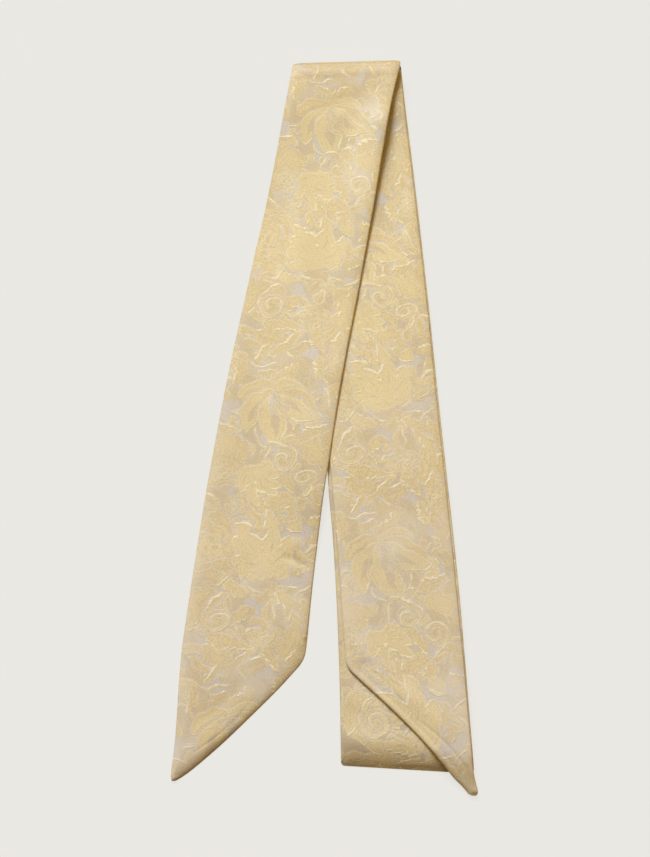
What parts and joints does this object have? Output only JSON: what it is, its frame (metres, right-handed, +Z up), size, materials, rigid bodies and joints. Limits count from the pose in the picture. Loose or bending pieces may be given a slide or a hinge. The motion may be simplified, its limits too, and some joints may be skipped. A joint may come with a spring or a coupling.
{
  "type": "wild rag",
  "caption": "Long narrow tube scarf in floral silk jacquard with slanted ends, folded flat into a pile with its front leg swung aside.",
  "frame": {"origin": "on the surface that the scarf lies on, under the middle of its box", "axes": "+Y towards the top fold, +X towards the right leg, +Z up from the surface"},
  "size_m": [0.164, 0.462, 0.013],
  "materials": {
    "front_cloth": "golden yellow silk jacquard, soft satin sheen",
    "end_cloth": "golden yellow silk jacquard, soft satin sheen",
    "under_cloth": "golden yellow silk jacquard, soft satin sheen"
  },
  "bodies": {
    "root": {"front_stretch": "front_cloth", "end_stretch": "end_cloth", "under_stretches": "under_cloth"}
  },
  "joints": []
}
